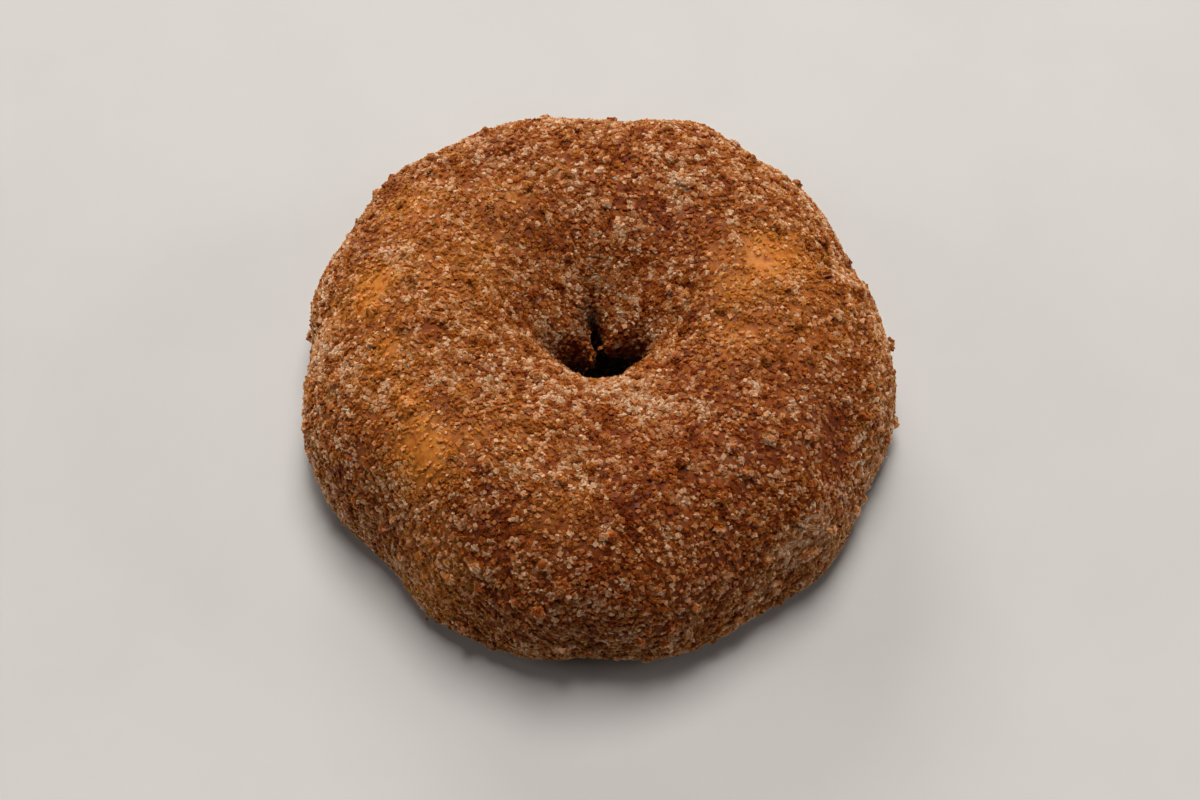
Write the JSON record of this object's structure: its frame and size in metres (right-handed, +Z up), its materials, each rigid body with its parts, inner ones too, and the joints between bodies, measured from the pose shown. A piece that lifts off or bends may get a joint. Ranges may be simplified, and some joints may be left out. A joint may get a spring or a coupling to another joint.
{
  "type": "cinnamon sugar doughnut",
  "caption": "Hand-shaped ring doughnut with an almost closed hole, rolled in coarse cinnamon sugar, resting on its flat underside.",
  "frame": {"origin": "on the ground below the middle of the ring", "axes": "+Z up through the hole, +X to the side with the nick in its outline, +Y to the side that the folds in the hole come from"},
  "size_m": [0.0925, 0.0911, 0.0325],
  "materials": {
    "sugared_crust": "matte, grainy: browned crust under cinnamon sugar"
  },
  "bodies": {
    "root": {"doughnut": "sugared_crust"}
  },
  "joints": []
}
